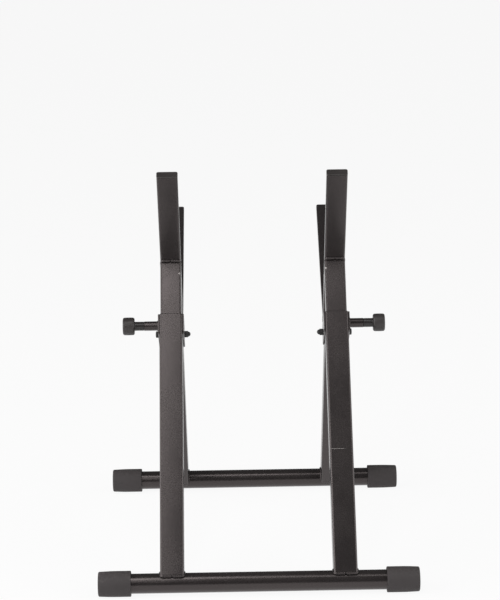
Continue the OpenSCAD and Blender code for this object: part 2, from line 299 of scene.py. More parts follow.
def math_node(tree, kind, *values):
    return calculation(tree, "ShaderNodeMath", kind, values)["Value"]


def vector_node(tree, kind, *values):
    outputs = calculation(tree, "ShaderNodeVectorMath", kind, values)
    return outputs["Value" if kind == "LENGTH" else "Vector"]


def axis_of(tree, vector, axis):
    parts = tree.nodes.new("ShaderNodeSeparateXYZ")
    return feed_all(tree, parts, {"Vector": vector}).outputs[axis]


def noise_node(tree, vector, scale, detail, roughness):
    values = {"Vector": vector, "Scale": scale, "Detail": detail, "Roughness": roughness}
    return feed_all(tree, tree.nodes.new("ShaderNodeTexNoise"), values).outputs["Fac"]


def remap(tree, value, low, high, to_low=0.0, to_high=1.0):
    """Ease a value from one range to another, and hold it at the ends."""
    node = tree.nodes.new("ShaderNodeMapRange")
    node.interpolation_type = "SMOOTHSTEP"
    values = {"Value": value, "From Min": low, "From Max": high, "To Min": to_low, "To Max": to_high}
    return feed_all(tree, node, values).outputs["Result"]


def bump_node(tree, height, strength, rise=0.2 * MM, over=None):
    """A normal that a height raises over the bare surface, or over another normal."""
    values = {"Height": height, "Strength": strength, "Distance": rise}
    if over is not None:
        values["Normal"] = over
    return feed_all(tree, tree.nodes.new("ShaderNodeBump"), values).outputs["Normal"]


def layered(tree, base, *layers):
    """A colour under layers of (mask, colour)."""
    for mask, tint in layers:
        node = tree.nodes.new("ShaderNodeMix")
        node.data_type = "RGBA"
        base = feed_all(tree, node, {"Factor": mask, "A": base, "B": tint}).outputs["Result"]
    return base


def mottled(tree, grain, low, high, *changes):
    """A roughness that follows the grain's mottle, changed by each (mask, amount)."""
    rough = remap(tree, grain["Mottle"], 0.0, 1.0, low, high)
    for mask, amount in changes:
        rough = math_node(tree, "MULTIPLY_ADD", mask, amount, rough)
    return rough


def toned(tint, share):
    """A colour made darker or lighter."""
    return tuple(share * part for part in tint)


def mixed_shader(tree, share, first, second):
    node = tree.nodes.new("ShaderNodeMixShader")
    for socket, value in zip(node.inputs, (share, first, second)):
        feed(tree, socket, value)
    return node.outputs["Shader"]


def rays_seen(tree, *kinds):
    """A mask of the rays of the kinds named."""
    rays = tree.nodes.new("ShaderNodeLightPath").outputs
    seen = 0.0
    for kind in kinds:
        seen = math_node(tree, "MAXIMUM", seen, rays[kind])
    return seen


# ---- shader groups, each built once and placed in the materials with their own values ----


def surface_grain(tree, given):
    """Fine and coarse grain in one height, with a slow mottle beside it."""
    fine = noise_node(tree, given["Vector"], given["Fine"], detail=2, roughness=0.55)
    coarse = noise_node(tree, given["Vector"], given["Coarse"], detail=1, roughness=0.5)
    slow = noise_node(tree, given["Vector"], 14, detail=4, roughness=0.6)
    height = math_node(tree, "MULTIPLY_ADD", fine, given["Fine Share"], coarse)
    return {"Height": height, "Mottle": remap(tree, slow, 0.32, 0.68)}


def handling_wear(tree, given):
    """Rubbed streaks and dull patches, as a mask that more of the amount widens."""
    stretched = vector_node(tree, "MULTIPLY", given["Vector"], given["Stretch"])
    patches = noise_node(tree, given["Vector"], 22, detail=5, roughness=0.62)
    streaks = noise_node(tree, stretched, 160, detail=3, roughness=0.6)
    both = math_node(tree, "MULTIPLY_ADD", patches, 0.62, math_node(tree, "MULTIPLY", streaks, 0.38))
    start = math_node(tree, "MULTIPLY_ADD", given["Amount"], -0.4, 0.78)
    full = math_node(tree, "ADD", start, 0.14)
    return {"Mask": remap(tree, both, start, full)}


def bright_mark_mask(tree, given):
    """One ragged bright mark round its centre, as a mask: a small spot, or a scratch when the size is long and
    thin. The size holds its half sizes.
    """
    offset = vector_node(tree, "SUBTRACT", given["Vector"], given["Centre"])
    reach = vector_node(tree, "LENGTH", vector_node(tree, "DIVIDE", offset, given["Size"]))
    ragged = noise_node(tree, given["Vector"], 900, detail=3, roughness=0.6)
    edge = math_node(tree, "MULTIPLY_ADD", ragged, 1.1, reach)
    return {"Mask": remap(tree, edge, 1.35, 1.55, 1.0, 0.0)}


def settled_dust(tree, given):
    """A thin film of dust on faces that look up, as a mask."""
    facing = axis_of(tree, tree.nodes.new("ShaderNodeNewGeometry").outputs["Normal"], "Z")
    specks = noise_node(tree, given["Vector"], 260, detail=5, roughness=0.7)
    film = math_node(tree, "MULTIPLY", remap(tree, facing, 0.35, 1.0), remap(tree, specks, 0.42, 0.70))
    return {"Mask": math_node(tree, "MULTIPLY", film, given["Amount"])}


SHARED_GROUPS = {
    "Surface Grain": (surface_grain, {"Fine": 1800.0, "Coarse": 420.0, "Fine Share": 0.4},
                      ("Height", "Mottle")),
    "Handling Wear": (handling_wear, {"Amount": 0.3, "Stretch": (1.0, 1.0, 1.0)}, ("Mask",)),
    "Paint Chip": (bright_mark_mask, {"Centre": (0.0, 0.0, 0.0), "Size": (MM, MM, MM)}, ("Mask",)),
    "Settled Dust": (settled_dust, {"Amount": 0.2}, ("Mask",)),
}


def shared_group(name):
    """The shader group of this name, built on its first use."""
    if name in bpy.data.node_groups:
        return bpy.data.node_groups[name]
    build, inputs, outputs = SHARED_GROUPS[name]
    tree = bpy.data.node_groups.new(name, "ShaderNodeTree")
    for label, default in {"Vector": (0.0, 0.0, 0.0), **inputs}.items():
        kind = "NodeSocketVector" if isinstance(default, tuple) else "NodeSocketFloat"
        socket = tree.interface.new_socket(label, in_out="INPUT", socket_type=kind)
        socket.default_value = default
    for label in outputs:
        tree.interface.new_socket(label, in_out="OUTPUT", socket_type="NodeSocketFloat")
    given = tree.nodes.new("NodeGroupInput").outputs
    feed_all(tree, tree.nodes.new("NodeGroupOutput"), build(tree, given))
    return tree


def place_group(tree, name, vector, **values):
    """The outputs of a shared group placed in a material with its own values."""
    node = tree.nodes.new("ShaderNodeGroup")
    node.node_tree = shared_group(name)
    named = {label.replace("_", " ").title(): value for label, value in values.items()}
    return feed_all(tree, node, {"Vector": vector, **named}).outputs


# ---- materials ----

DUST_ON_COAT = (0.16, 0.15, 0.14)
DUST_ON_FEET = (0.17, 0.16, 0.15)
RUBBED_ZINC = (0.20, 0.195, 0.19)
COAT_SHEEN = (1.0, 0.88, 0.87)
COAT_IOR = 1.64
WALL_CROWN = 0.11 * MM


def new_material(name):
    """A material with its node tree, its shader and the object coordinates that its patterns read."""
    material = bpy.data.materials.new(name)
    material.use_nodes = True
    tree = material.node_tree
    where = tree.nodes.new("ShaderNodeTexCoord").outputs["Object"]
    return material, tree, tree.nodes["Principled BSDF"], where


def wall_crown(tree, where):
    """A normal for rolled tube, which isn't quite flat: each wall swells between its corners."""
    side_x = MOUNTS["seat_face_right"]["pos_m"][0]
    from_side = math_node(tree, "SUBTRACT", math_node(tree, "ABSOLUTE", axis_of(tree, where, "X")), side_x)
    share = math_node(tree, "DIVIDE", math_node(tree, "ABSOLUTE", from_side), POST_HALF)
    share = math_node(tree, "MINIMUM", share, 1.0)
    height = math_node(tree, "SUBTRACT", 1.0, math_node(tree, "MULTIPLY", share, share))
    return bump_node(tree, height, 1, WALL_CROWN)


def spots_and_scratch():
    """Centre and half sizes of the two small bright spots on the posts' inner corners and of the scratch on a leg,
    which show from behind.
    """
    left, right = pin_place("left"), pin_place("right")
    inner_left = left @ Vector((POST_HALF - 2.6 * MM, -POST_HALF, 87 * MM))
    inner_right = right @ Vector((-POST_HALF + 1.8 * MM, -POST_HALF + 0.3 * MM, 92.6 * MM))
    scratch = right @ Vector((-6 * MM, -LEG_HALF, -225 * MM))
    return [
        (inner_left, (1.6 * MM, 1.6 * MM, 2.6 * MM)),
        (inner_right, (1.5 * MM, 1.5 * MM, 2.2 * MM)),
        (scratch, (14 * MM, 1.1 * MM, 0.2 * MM)),
    ]


def powder_coat(finish):
    """Satin black powder coat: orange peel, rubbed places, small bright metallic spots on the posts, a scratch on
    a leg.
    """
    material, tree, shader, where = new_material("Black Powder Coat")
    grain = place_group(tree, "Surface Grain", where, fine=2600.0, coarse=620.0, fine_share=0.35)
    wear = place_group(tree, "Handling Wear", where, amount=0.30, stretch=(1.0, 0.10, 0.10))["Mask"]
    dust = place_group(tree, "Settled Dust", where, amount=0.07)["Mask"]
    dulled = math_node(tree, "MULTIPLY", grain["Mottle"], 0.35)
    # one mask for the two small bright metallic spots on the posts' inner corners and the scratch on a leg
    bright_marks = 0.0
    for centre, size in spots_and_scratch():
        bright_mark = place_group(tree, "Paint Chip", where, centre=centre, size=size)["Mask"]
        bright_marks = math_node(tree, "MAXIMUM", bright_marks, bright_mark)
    height = math_node(tree, "MULTIPLY_ADD", bright_marks, -1.2, grain["Height"])
    feed_all(tree, shader, {
        "Base Color": layered(tree, finish.powder, (wear, finish.powder_worn), (dulled, finish.powder_worn),
                              (dust, DUST_ON_COAT), (bright_marks, finish.bright_mark)),
        "Roughness": mottled(tree, grain, 0.22, 0.27, (wear, 0.12), (dust, 0.5)),
        "Metallic": math_node(tree, "MULTIPLY", bright_marks, 0.25),
        "Normal": bump_node(tree, height, 0.16, over=wall_crown(tree, where)),
        "Specular Tint": COAT_SHEEN,
        "IOR": COAT_IOR,
    })
    return material


def foot_rubber(finish):
    """Matt moulded rubber with scuffs."""
    material, tree, shader, where = new_material("Black Rubber")
    grain = place_group(tree, "Surface Grain", where, fine=3200.0, coarse=900.0, fine_share=0.7)
    wear = place_group(tree, "Handling Wear", where, amount=0.5, stretch=(0.3, 1.0, 1.0))["Mask"]
    dust = place_group(tree, "Settled Dust", where, amount=0.22)["Mask"]
    feed_all(tree, shader, {
        "Base Color": layered(tree, toned(finish.rubber, 0.78), (grain["Mottle"], finish.rubber),
                              (wear, toned(finish.rubber, 1.5)), (dust, DUST_ON_FEET)),
        "Roughness": mottled(tree, grain, 0.66, 0.80),
        "Normal": bump_node(tree, grain["Height"], 0.35),
    })
    return material


def hub_mask(tree, where):
    """The polished hubs of the knobs, told by their distance from the middle of the stand."""
    start = near_and_far("pull_knob_right", SIDES["right"])[0]
    end = start + bpy.context.scene.stand_knobs.hub_length
    off = math_node(tree, "ABSOLUTE", axis_of(tree, where, "X"))
    past_start = remap(tree, off, start - 1 * MM, start)
    before_end = remap(tree, off, end - 1 * MM, end + 0.5 * MM, 1.0, 0.0)
    return math_node(tree, "MULTIPLY", past_start, before_end)


def moulded_plastic(finish):
    """Black moulded plastic with a fine spark texture, rubbed rims and polished hubs."""
    material, tree, shader, where = new_material("Black Moulded Plastic")
    grain = place_group(tree, "Surface Grain", where, fine=3800.0, coarse=1500.0, fine_share=0.8)
    wear = place_group(tree, "Handling Wear", where, amount=0.55)["Mask"]
    hub = hub_mask(tree, where)
    feed_all(tree, shader, {
        "Base Color": layered(tree, toned(finish.plastic, 0.8), (grain["Mottle"], finish.plastic),
                              (wear, toned(finish.plastic, 1.45)), (hub, toned(finish.plastic, 0.6))),
        "Roughness": mottled(tree, grain, 0.38, 0.48, (wear, -0.08), (hub, -0.16)),
        "Normal": bump_node(tree, grain["Height"], 0.25),
    })
    return material


def black_zinc(finish):
    """Black zinc plating, rubbed thin in places so that the steel glints through."""
    material, tree, shader, where = new_material("Black Zinc")
    grain = place_group(tree, "Surface Grain", where, fine=4200.0, coarse=1200.0, fine_share=0.6)
    wear = place_group(tree, "Handling Wear", where, amount=0.6)["Mask"]
    feed_all(tree, shader, {
        "Base Color": layered(tree, finish.zinc, (wear, RUBBED_ZINC)),
        "Metallic": remap(tree, wear, 0.0, 1.0, 0.1, 0.7),
        "Roughness": mottled(tree, grain, 0.30, 0.46),
        "Normal": bump_node(tree, grain["Height"], 0.18),
    })
    return material


def natural_nylon(finish):
    """Milky nylon, slightly uneven."""
    material, tree, shader, where = new_material("Natural Nylon")
    grain = place_group(tree, "Surface Grain", where, fine=2400.0, coarse=800.0, fine_share=0.5)
    feed_all(tree, shader, {
        "Base Color": layered(tree, toned(finish.nylon, 0.9), (grain["Mottle"], finish.nylon)),
        "Roughness": mottled(tree, grain, 0.40, 0.52),
        "Normal": bump_node(tree, grain["Height"], 0.2),
    })
    return material


def turned_steel(finish):
    """Bright steel with turning marks round its X axis and oil stains."""
    material, tree, shader, where = new_material("Turned Steel")
    grain = place_group(tree, "Surface Grain", where, fine=3000.0, coarse=700.0, fine_share=0.5)
    squeezed = vector_node(tree, "MULTIPLY", where, (9000.0, 20.0, 20.0))
    rings = noise_node(tree, squeezed, 1, detail=1, roughness=0.5)
    feed_all(tree, shader, {
        "Base Color": layered(tree, toned(finish.steel, 0.72), (grain["Mottle"], finish.steel)),
        "Metallic": 1.0,
        "Roughness": remap(tree, rings, 0.2, 0.8, 0.24, 0.42),
        "Normal": bump_node(tree, math_node(tree, "ADD", rings, grain["Height"]), 0.12),
    })
    return material


MATERIAL_MAKERS = {
    "steel_black": powder_coat,
    "rubber_black": foot_rubber,
    "plastic_black": moulded_plastic,
    "fastener_black": black_zinc,
    "nylon_natural": natural_nylon,
    "steel_bright": turned_steel,
}
MATERIALS = {}


def material_for(slot):
    if slot not in MATERIALS:
        raise RuntimeError(f"mix the finishes before using {slot}")
    return MATERIALS[slot]


# ---- mesh helpers ----

MERGE_WITHIN = 2e-6  # points this close are one point
FLAT_WITHIN = radians(0.5)  # faces that turn by less than this are one flat wall
CRISP_ABOVE = radians(32)  # an edge that turns by more stays crisp
BEAD_CRISP_ABOVE = radians(80)
CUT_ABOVE = radians(38)  # an edge of a CAD node that turns by more gets broken
LEG_CUT_ABOVE = radians(50)  # past the 45 degrees by which a filed rim turns
FACES_UP = 0.999  # a face looks up the leg when its normal has this much of the leg's direction
ROUNDING_STEPS = 6


def new_object(name, data):
    thing = bpy.data.objects.new(name, data)
    bpy.context.scene.collection.objects.link(thing)
    return thing


def object_from(name, shape):
    """An object at the origin that holds the bmesh, which is used up."""
    mesh = bpy.data.meshes.new(name)
    shape.to_mesh(mesh)
    shape.free()
    return new_object(name, mesh)


def finish_piece(name, shape, body, slot, crisp_above=CRISP_ABOVE):
    """Turns a bmesh into a smooth piece with crisp edges, which rides on its body."""
    for face in shape.faces:
        face.smooth = True
    for edge in shape.edges:
        edge.smooth = not (edge.is_manifold and edge.calc_face_angle() > crisp_above)
    piece = object_from(name, shape)
    piece.data.materials.append(material_for(slot))
    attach(piece, body)
    return piece


def rounded(shape, geom, width, segments, affect="EDGES", clamp=False):
    """Bevel edges, or corners where affect is VERTICES."""
    bmesh.ops.bevel(
        shape, geom=geom, offset=width, offset_type="OFFSET", segments=segments, profile=0.5,
        affect=affect, clamp_overlap=clamp, material=-1,
    )


def file_rim(shape, width):
    """Break the outer edge of a rear leg's open end."""
    centre = sum((vert.co for vert in shape.verts), Vector()) / len(shape.verts)
    rim = []
    for edge in shape.edges:
        reach = (edge.verts[0].co + edge.verts[1].co) / 2 - centre
        tops = [face for face in edge.link_faces if face.normal.dot(UP_REAR_LEG) > FACES_UP]
        walls = [
            face for face in edge.link_faces
            if face not in tops and face.normal.dot(reach) > LEG_HALF / 2
        ]
        if tops and walls:
            rim.append(edge)
    if not rim:
        raise RuntimeError("the leg has no open end to file")
    rounded(shape, rim, width, 1)


def softened(node, width, segments, rim=0.0):
    """A copy of a CAD node with its cut edges broken, which then stands for the node."""
    shape = bmesh.new()
    shape.from_mesh(NODES[node].data)
    bmesh.ops.remove_doubles(shape, verts=shape.verts, dist=MERGE_WITHIN)
    bmesh.ops.dissolve_limit(
        shape, angle_limit=FLAT_WITHIN, verts=shape.verts, edges=shape.edges,
        use_dissolve_boundaries=False,
    )
    if rim > 0:
        file_rim(shape, rim)
    cut_above = LEG_CUT_ABOVE if rim > 0 else CUT_ABOVE
    cut = [edge for edge in shape.edges if edge.is_manifold and edge.calc_face_angle() > cut_above]
    rounded(shape, cut, width, segments, clamp=True)
    piece = finish_piece(f"{node}_finished", shape, BODY_OF[node], SLOT_OF[node])
    flat_walls = piece.modifiers.new("Flat Walls", "WEIGHTED_NORMAL")
    flat_walls.mode = "FACE_AREA"
    flat_walls.keep_sharp = True
    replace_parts(piece, node)


def spun(corners, centre, sides):
    """A closed solid of revolution about the X line through centre, from (x, radius, rounding) corners."""
    shape = bmesh.new()
    made = [shape.verts.new((x, centre.y, centre.z + radius)) for x, radius, _ in corners]
    for first, second in zip(made, made[1:]):
        shape.edges.new((first, second))
    for corner, (_, _, rounding) in zip(made, corners):
        if rounding > 0:
            rounded(shape, [corner], rounding, ROUNDING_STEPS, affect="VERTICES")
    bmesh.ops.spin(
        shape, geom=shape.verts[:] + shape.edges[:], cent=centre, axis=ACROSS, angle=2 * pi,
        steps=sides, use_merge=True,
    )
    bmesh.ops.remove_doubles(shape, verts=shape.verts, dist=MERGE_WITHIN)
    bmesh.ops.recalc_face_normals(shape, faces=shape.faces)
    return shape


# ---- weld beads ----

RIPPLE_STEPS = 4  # rings in each ripple
BEAD_SIDES = 8
SMOOTHING_PASSES = 4
UNEVENNESS = 0.14  # share of its radius by which a bead swells and thins
UNEVEN_SCALE = 160
TIP_SIZE = 0.35  # share of the radius at a bead's two tips
TIP_GROWTH = 0.3  # what each ring adds to it


def spaced(path, step):
    """Points at equal steps along a path of (point, radius), smoothed a little."""
    samples = []
    left_over = 0.0
    for (start, start_r), (end, end_r) in zip(path, path[1:]):
        reach = (end - start).length
        travelled = left_over
        while travelled < reach:
            share = travelled / reach
            samples.append((start.lerp(end, share), start_r + (end_r - start_r) * share))
            travelled += step
        left_over = travelled - reach
    samples.append(path[-1])
    for _ in range(SMOOTHING_PASSES):
        samples = [samples[0]] + [
            ((a[0] + 2 * b[0] + c[0]) / 4, (a[1] + 2 * b[1] + c[1]) / 4)
            for a, b, c in zip(samples, samples[1:], samples[2:])
        ] + [samples[-1]]
    return samples


def bead(shape, path, place, welds):
    """One rippled weld bead swept along a path of (point, radius) in the given place."""
    samples = spaced(path, welds.ripple / RIPPLE_STEPS)
    last = len(samples) - 1
    turn = (samples[1][0] - samples[0][0]).normalized().to_track_quat("Z", "Y")
    before = None
    for count, (point, radius) in enumerate(samples):
        way = (samples[min(count + 1, last)][0] - samples[max(count - 1, 0)][0]).normalized()
        turn = (turn @ Vector((0, 0, 1))).rotation_difference(way) @ turn
        ripple = 1 - welds.depth * (0.5 + 0.5 * cos(2 * pi * count / RIPPLE_STEPS))
        uneven = 1 + UNEVENNESS * noise.noise(point * UNEVEN_SCALE)
        taper = min(1, TIP_SIZE + TIP_GROWTH * min(count, last - count))
        size = Matrix.Scale(radius * ripple * uneven * taper, 4)
        here = place @ Matrix.Translation(point) @ turn.to_matrix().to_4x4() @ size
        if before is None:
            ring = bmesh.ops.create_circle(
                shape, cap_ends=False, segments=BEAD_SIDES, radius=1, matrix=here
            )["verts"]
            edges = list(dict.fromkeys(e for v in ring for e in v.link_edges))
            first_edges = edges
        else:
            grown = bmesh.ops.extrude_edge_only(shape, edges=edges)["geom"]
            ring = [g for g in grown if isinstance(g, bmesh.types.BMVert)]
            made = set(ring)
            edges = [g for g in grown if isinstance(g, bmesh.types.BMEdge) and set(g.verts) <= made]
            bmesh.ops.transform(shape, matrix=here @ before.inverted(), verts=ring)
        before = here
    for loop in (first_edges, edges):
        bmesh.ops.edgeloop_fill(shape, edges=loop)


def weld_piece(name, paths, place, body, welds):
    shape = bmesh.new()
    for path in paths:
        bead(shape, path, place, welds)
    bmesh.ops.recalc_face_normals(shape, faces=shape.faces)
    finish_piece(name, shape, body, "steel_black", BEAD_CRISP_ABOVE)


# ---- weld paths, each a list of (point, radius) in a place of its own ----


def arc_weld(x, arc_r, start, stop, step, radius):
    """Round the X line at a distance, between two angles in degrees from straight up."""
    return [
        (Vector((x, arc_r * sin(radians(a)), arc_r * cos(radians(a)))), radius)
        for a in range(start, stop + 1, step)
    ]


def floor_weld(half, tube_r, welds):
    """Round a leg's foot: along both end walls, and over the floor tube at both sides."""
    wall_y, wall_z = half - 1.9 * MM, 6.9 * MM
    corner_x, side_x = half - 3 * MM, half + 0.2 * MM
    side_r, side_sweep, side_step = tube_r + 0.8 * MM, 62, 4
    back, front = [
        [(Vector((x, y, wall_z)), welds.floor_bead) for x in (0, corner_x)] for y in (-wall_y, wall_y)
    ]
    over_tube = arc_weld(side_x, side_r, -side_sweep, side_sweep, side_step, welds.side_bead)
    right_half = back + over_tube + front[::-1]
    left_half = [(Vector((-p.x, p.y, p.z)), radius) for p, radius in reversed(right_half[:-1])]
    return right_half + left_half


def boxed(half_x, low, high, radius, point_at):
    """A rectangle with cut corners, closed on itself, through point_at(x, along)."""
    cut = 2.6 * MM
    corners = [
        (0, high), (half_x - cut, high), (half_x, high - cut), (half_x, low + cut),
        (half_x - cut, low), (-half_x + cut, low), (-half_x, low + cut), (-half_x, high - cut),
        (-half_x + cut, high), (0, high),
    ]
    return [(point_at(x, far), radius) for x, far in corners]


def post_weld(welds):
    """Round a post where it ends on its upright's rear face: dressed at the sides, full over the top."""
    reach = POST_HALF / sin(UP_REAR_LEG.angle(UP_UPRIGHT))
    sunk, side_in, below, above = 0.4 * MM, 1.5 * MM, 0.7 * MM, 2.6 * MM
    over_top = reach + 1 * MM
    thin_share = 0.82
    path = boxed(POST_HALF - side_in, -reach - below, reach + above, welds.post_bead,
                 lambda x, z: Vector((x, -sunk, z)))
    full = []
    for point, radius in path:
        if point.z > over_top:
            radius = welds.post_top if abs(point.x) > POST_HALF / 2 else thin_share * welds.post_top
        full.append((point, radius))
    return full


def mitre_weld(drop, depth, welds):
    """Round the mitred corner between upright and seat arm."""
    half, sunk = depth / 2, 0.9 * MM
    reach = depth / sqrt(2) - sunk
    return boxed(POST_HALF - 0.5 * MM, -reach, reach, welds.mitre_bead,
                 lambda x, far: Vector((x, half + far / sqrt(2), drop - half + far / sqrt(2))))


# ---- operators ----


class STAND_OT_mix_finishes(bpy.types.Operator):
    """Build one material for each of the record's slots and paint every CAD node with its own"""

    bl_idname = "stand.mix_finishes"
    bl_label = "Mix Finishes"

    def execute(self, context):
        finish = context.scene.stand_finish
        for slot, maker in MATERIAL_MAKERS.items():
            MATERIALS[slot] = maker(finish)
        for name, node in NODES.items():
            node.data.materials.clear()
            node.data.materials.append(material_for(SLOT_OF[name]))
        return {"FINISHED"}


class STAND_OT_soften_steel(bpy.types.Operator):
    """Break the cut edges of tubes, plates, barrels, plugs, glides and small hardware"""

    bl_idname = "stand.soften_steel"
    bl_label = "Soften Edges"

    def execute(self, context):
        finish = context.scene.stand_finish
        for name, slot in SLOT_OF.items():
            if name.startswith("rear_leg"):
                softened(name, finish.edge, 2, finish.rim)
            elif slot == "steel_black":
                softened(name, finish.edge, 1)
            elif "plug_" in name or "glide" in name:
                softened(name, finish.plug_edge, 3)
            elif slot in ("fastener_black", "nylon_natural", "steel_bright") and "spring" not in name:
                softened(name, finish.small_edge, 1)
        return {"FINISHED"}


class STAND_OT_run_welds(bpy.types.Operator):
    """Lay the weld beads at the feet, posts, mitred corners, barrels and hinge plates"""

    bl_idname = "stand.run_welds"
    bl_label = "Run Welds"

    def execute(self, context):
        welds = context.scene.stand_welds
        for side, sign in SIDES.items():
            self.weld_feet(side, welds)
            self.weld_cradle(side, welds)
            self.weld_plates(side, sign, welds)
        return {"FINISHED"}

    def weld_feet(self, side, welds):
        for end, half in (("rear", LEG_HALF), ("front", FRONT_LEG_HALF)):
            path = floor_weld(half, half_size(f"{end}_floor_tube", "z"), welds)
            weld_piece(f"weld_{end}_foot_{side}", [path], tube_place(end, side), f"{end}_frame", welds)

    def weld_cradle(self, side, welds):
        paths = [post_weld(welds), mitre_weld(seat_drop(side), flat_thickness(), welds)]
        weld_piece(f"weld_cradle_{side}", paths, cradle_place(side), f"{side}_cradle", welds)

    def weld_plates(self, side, sign, welds):
        """One bead round the barrel's foot, and one along under each hinge plate."""
        barrel = f"plunger_barrel_{side}"
        foot_x = near_and_far(barrel, sign)[0] - middle(f"rear_leg_{side}").x + sign * 0.4 * MM
        foot_r, step = half_size(barrel, "z") + 0.3 * MM, 12
        paths = [arc_weld(foot_x, foot_r, 0, 360 + step, step, welds.plate_bead)]
        wall_x, plate_end = LEG_HALF + 0.5 * MM, -19.4 * MM
        back_y, front_y = -13 * MM, 14 * MM
        for x in (-wall_x, wall_x):
            paths.append([(Vector((x, y, plate_end)), welds.plate_bead) for y in (back_y, front_y)])
        weld_piece(f"weld_plates_{side}", paths, pin_place(side), "rear_frame", welds)


class STAND_OT_mould_feet(bpy.types.Operator):
    """Mould the four rubber feet over the floor tubes' ends"""

    bl_idname = "stand.mould_feet"
    bl_label = "Mould Feet"

    def execute(self, context):
        feet = context.scene.stand_feet
        for end in ("rear", "front"):
            tube_r = half_size(f"{end}_floor_tube", "z")
            for side, sign in SIDES.items():
                self.mould(f"{end}_end_cap_{side}", f"{end}_frame", sign, tube_r, feet)
        return {"FINISHED"}

    def mould(self, node, body, sign, tube_r, feet):
        radius = half_size(node, "y")
        centre = Vector((0, middle(node).y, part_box(node)[1].z - radius))
        opened, closed = near_and_far(node, sign)
        dish_x = closed - sign * feet.dish
        wall_x = closed - sign * feet.end_wall
        taper_x = closed - sign * 0.42 * abs(opened - closed)
        dish_r, brim_r, soft = radius * 0.52, radius * 0.62, 0.5 * MM
        bore = tube_r + 0.05 * MM
        corners = [
            (dish_x, 0, 0),
            (dish_x, dish_r, soft),
            (closed, brim_r, soft),
            (closed, radius - feet.taper, feet.rim),
            (taper_x, radius, 6 * MM),
            (opened, radius, feet.lip),
            (opened, bore, 0.4 * MM),
            (wall_x, bore, 0),
            (wall_x, 0, 0),
        ]
        shape = spun(corners, centre, feet.sides)
        cut = bmesh.ops.bisect_plane(
            shape, geom=shape.verts[:] + shape.edges[:] + shape.faces[:], plane_co=(0, 0, 0),
            plane_no=(0, 0, -1), clear_outer=True,
        )["geom_cut"]
        bmesh.ops.edgeloop_fill(shape, edges=[g for g in cut if isinstance(g, bmesh.types.BMEdge)])
        bmesh.ops.recalc_face_normals(shape, faces=shape.faces)
        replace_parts(finish_piece(f"{node}_moulded", shape, body, "rubber_black"), node)


class STAND_OT_turn_knobs(bpy.types.Operator):
    """Turn the two pull knobs, hub and grip in one"""

    bl_idname = "stand.turn_knobs"
    bl_label = "Turn Knobs"

    def execute(self, context):
        knobs = context.scene.stand_knobs
        for side, sign in SIDES.items():
            hub_r = half_size(f"plunger_barrel_{side}", "z") - 0.3 * MM
            self.turn(f"pull_knob_{side}", f"{side}_plunger", hub_r, sign, knobs)
        return {"FINISHED"}

    def turn(self, node, body, hub_r, sign, knobs):
        grip_r = half_size(node, "y")
        rim_r = grip_r - knobs.bulge
        inner, outer = near_and_far(node, sign)
        grip = inner + sign * knobs.hub_length
        dish_x = outer - sign * knobs.dish
        dish_r, brim_r, soft = rim_r * 0.60, rim_r * 0.68, 0.6 * MM
        corners = [
            (inner, 0, 0),
            (inner, hub_r, soft),
            (grip, hub_r, 1.0 * MM),
            (grip, rim_r, knobs.rim),
            ((grip + outer) / 2, grip_r, 6 * MM),
            (outer, rim_r, knobs.rim),
            (outer, brim_r, soft),
            (dish_x, dish_r, soft),
            (dish_x, 0, 0),
        ]
        shape = spun(corners, middle(node), knobs.sides)
        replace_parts(finish_piece(f"{node}_turned", shape, body, "plastic_black"), node)


class STAND_OT_wind_springs(bpy.types.Operator):
    """Wind the two return springs in their barrels"""

    bl_idname = "stand.wind_springs"
    bl_label = "Wind Springs"

    def execute(self, context):
        springs = context.scene.stand_springs
        for side, sign in SIDES.items():
            self.wind(f"plunger_spring_{side}", f"{side}_pull", sign, springs)
        return {"FINISHED"}

    def wind(self, node, joint, sign, springs):
        low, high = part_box(node)
        centre = middle(node)
        reach = high.x - low.x
        mean_r = half_size(node, "y") - springs.wire
        start = Vector((low.x + springs.wire, centre.y, centre.z + mean_r))
        steps = round(springs.steps * springs.turns)
        shape = bmesh.new()
        bmesh.ops.create_circle(
            shape, cap_ends=False, segments=12, radius=springs.wire,
            matrix=Matrix.Translation(start) @ Matrix.Rotation(radians(90), 4, "X"),
        )
        bmesh.ops.spin(
            shape, geom=shape.verts[:] + shape.edges[:], cent=centre, axis=ACROSS,
            dvec=ACROSS * (reach - 2 * springs.wire) / steps, angle=2 * pi * springs.turns,
            steps=steps, use_merge=False,
        )
        bmesh.ops.holes_fill(shape, edges=[edge for edge in shape.edges if edge.is_boundary])
        bmesh.ops.recalc_face_normals(shape, faces=shape.faces)
        spring = finish_piece(f"{node}_wound", shape, BODY_OF[node], SLOT_OF[node])
        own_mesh(spring)
        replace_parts(spring, node)


WHITE = (1, 1, 1)
LAMPS_AIM_AT = Vector((0, 0, 0.35))
LAMPS = (
    # name, its power in the studio's settings, place, width and height
    ("Key Lamp", "key", (-0.36, -1.21, 1.74), 0.25, 2.2),
    ("Top Lamp", "top", (-0.17, -1.3, 3.6), 2.0, 0.8),
    ("Left Lamp", "left", (-2.6, -1.0, 1.4), 3.0, 2.6),
    ("Right Lamp", "right", (2.6, -1.0, 1.4), 3.0, 2.6),
)


